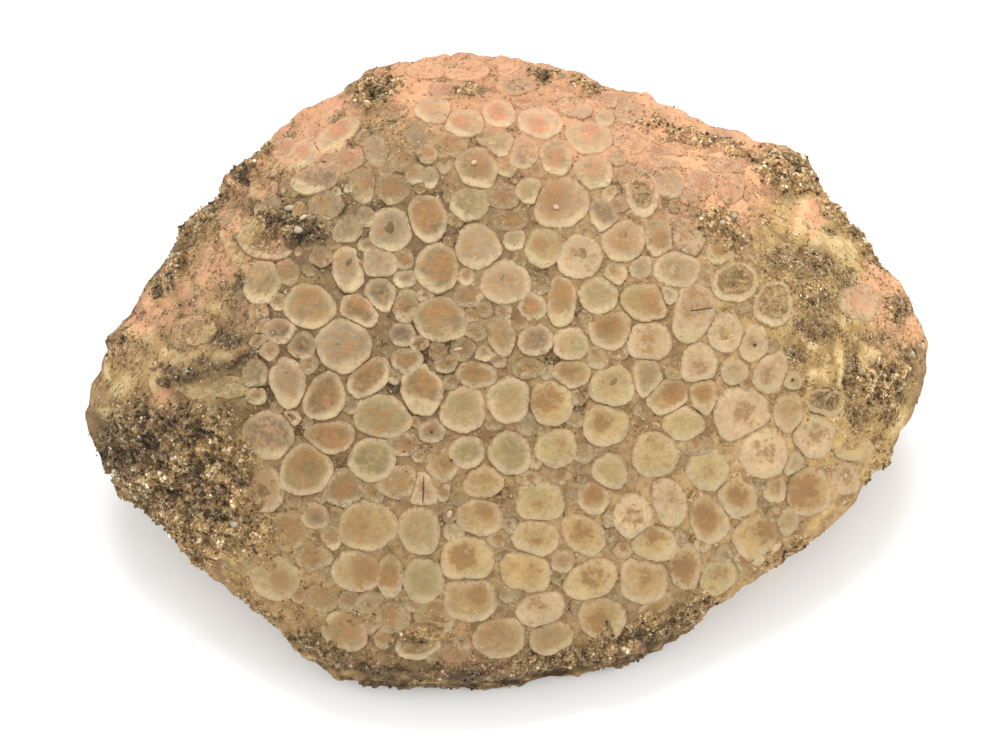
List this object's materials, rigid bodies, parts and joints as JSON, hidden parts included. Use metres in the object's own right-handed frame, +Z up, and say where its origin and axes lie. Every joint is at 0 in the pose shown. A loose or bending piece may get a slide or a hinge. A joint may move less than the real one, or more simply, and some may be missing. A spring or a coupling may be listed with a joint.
{
  "type": "fossil fish tooth plate",
  "caption": "Fossil jaw plate of a fish: an oval, gently domed block of bone paved with low round crushing teeth, with patches of cemented sand and a flat resting base.",
  "frame": {"origin": "middle of the plate's bounding box, on the surface it rests on", "axes": "+X along the plate's length, +Y towards its high back edge, +Z up from the resting base towards the tooth face"},
  "size_m": [0.062, 0.0453, 0.0222],
  "materials": {
    "tooth_plate": "worn satin tooth enamel over matt bone, with rough sandy matrix"
  },
  "bodies": {
    "root": {"tooth_plate": "tooth_plate"}
  },
  "joints": []
}
